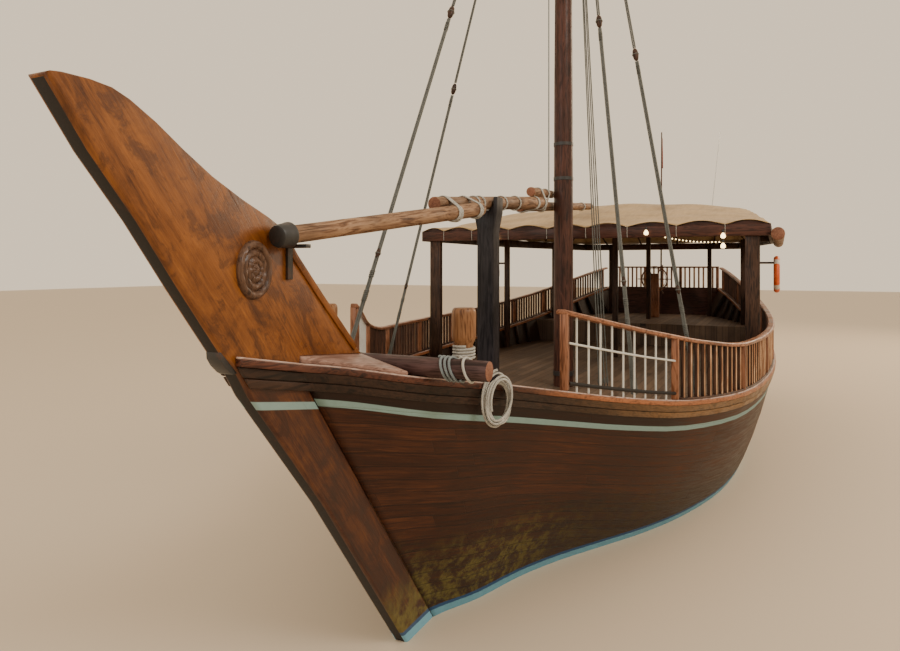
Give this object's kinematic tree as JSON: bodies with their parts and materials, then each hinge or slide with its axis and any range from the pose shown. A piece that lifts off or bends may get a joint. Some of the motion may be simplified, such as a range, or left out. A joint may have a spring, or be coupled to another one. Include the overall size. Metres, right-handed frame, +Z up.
{
  "type": "dhow sailing boat",
  "caption": "Wooden dhow with a long raked stem, a lowered yard on a crutch, a mast and a fabric canopy over the after deck; rudder, wheel, propeller and yard hoist move.",
  "frame": {"origin": "amidships on the centreline, at the waterline", "axes": "+X towards the bow, +Y to port, +Z up"},
  "size_m": [18.4741, 6.0843, 13.95],
  "materials": {
    "planking": "weathered oil",
    "dark_wood": "weathered oil",
    "rail_wood": "worn varnish",
    "stem_wood": "varnish",
    "deck_wood": "bare",
    "mast_wood": "oiled",
    "spar_wood": "weathered",
    "canopy_fabric": "matte",
    "rope": "worn",
    "black_iron": "satin",
    "bronze": "dull",
    "steel": "satin",
    "buoy_plastic": "matte",
    "flag_cloth": "matte"
  },
  "bodies": {
    "boat": {"hull": "planking", "bulwark_port": "planking", "bulwark_starboard": "planking", "cap_rail_port": "rail_wood", "cap_rail_starboard": "rail_wood", "wale_port": "dark_wood", "wale_starboard": "dark_wood", "foredeck": "deck_wood", "poop_deck": "deck_wood", "stem_post": "stem_wood", "keel": "dark_wood", "stern_post": "dark_wood", "transom": "planking", "bow_cover": "rail_wood", "cross_log": "spar_wood", "bollard_port": "stem_wood", "bollard_starboard": "stem_wood", "crutch_post": "mast_wood", "mast": "mast_wood", "masthead_block": "dark_wood", "shroud_port_fore": "rope", "shroud_port_aft": "rope", "shroud_starboard_fore": "rope", "shroud_starboard_aft": "rope", "rosette_port": "dark_wood", "rosette_starboard": "dark_wood", "railing_port": "rail_wood", "railing_starboard": "rail_wood", "stern_railing": "rail_wood", "canopy_frame_port": "dark_wood", "canopy_frame_starboard": "dark_wood", "canopy_fascia_front": "dark_wood", "canopy_fascia_aft": "dark_wood", "canopy_ridge": "dark_wood", "canopy": "canopy_fabric", "helm_pedestal": "rail_wood", "lifebuoy_port": "buoy_plastic", "lifebuoy_starboard": "buoy_plastic", "stowed_spar": "spar_wood", "flagstaff": "spar_wood", "flag": "flag_cloth", "aerial": "steel", "stem_bracket": "black_iron", "rope_hank": "rope"},
    "rudder": {"rudder": "dark_wood"},
    "propeller": {"propeller": "bronze", "propeller_shaft": "steel"},
    "wheel": {"steering_wheel": "rail_wood"},
    "yard": {"yard_fore_spar": "spar_wood", "yard_middle_spar": "spar_wood", "yard_aft_spar": "spar_wood", "yard_top_chock": "dark_wood", "yard_cap": "black_iron", "halyard": "rope"}
  },
  "joints": [
    {"name": "rudder_hinge", "type": "hinge", "parent": "boat", "child": "rudder", "pos_m": [-7.2261, 0, 0], "axis": [-0.3227, 0, 0.9465], "range_deg": [-35, 35]},
    {"name": "wheel_spin", "type": "hinge", "parent": "boat", "child": "wheel", "pos_m": [-6.49, 0, 2.95], "axis": [1, 0, 0], "range_deg": [-720, 720]},
    {"name": "propeller_spin", "type": "hinge", "parent": "boat", "child": "propeller", "pos_m": [-6.42, 0, -0.79], "axis": [1, 0, 0], "continuous": true},
    {"name": "yard_hoist", "type": "slide", "parent": "boat", "child": "yard", "axis": [0, 0, 1], "range_m": [0, 6], "deforming": ["halyard"]}
  ],
  "couplings": [
    {"joint": "wheel_spin", "follows": "rudder_hinge", "ratio": 20}
  ]
}
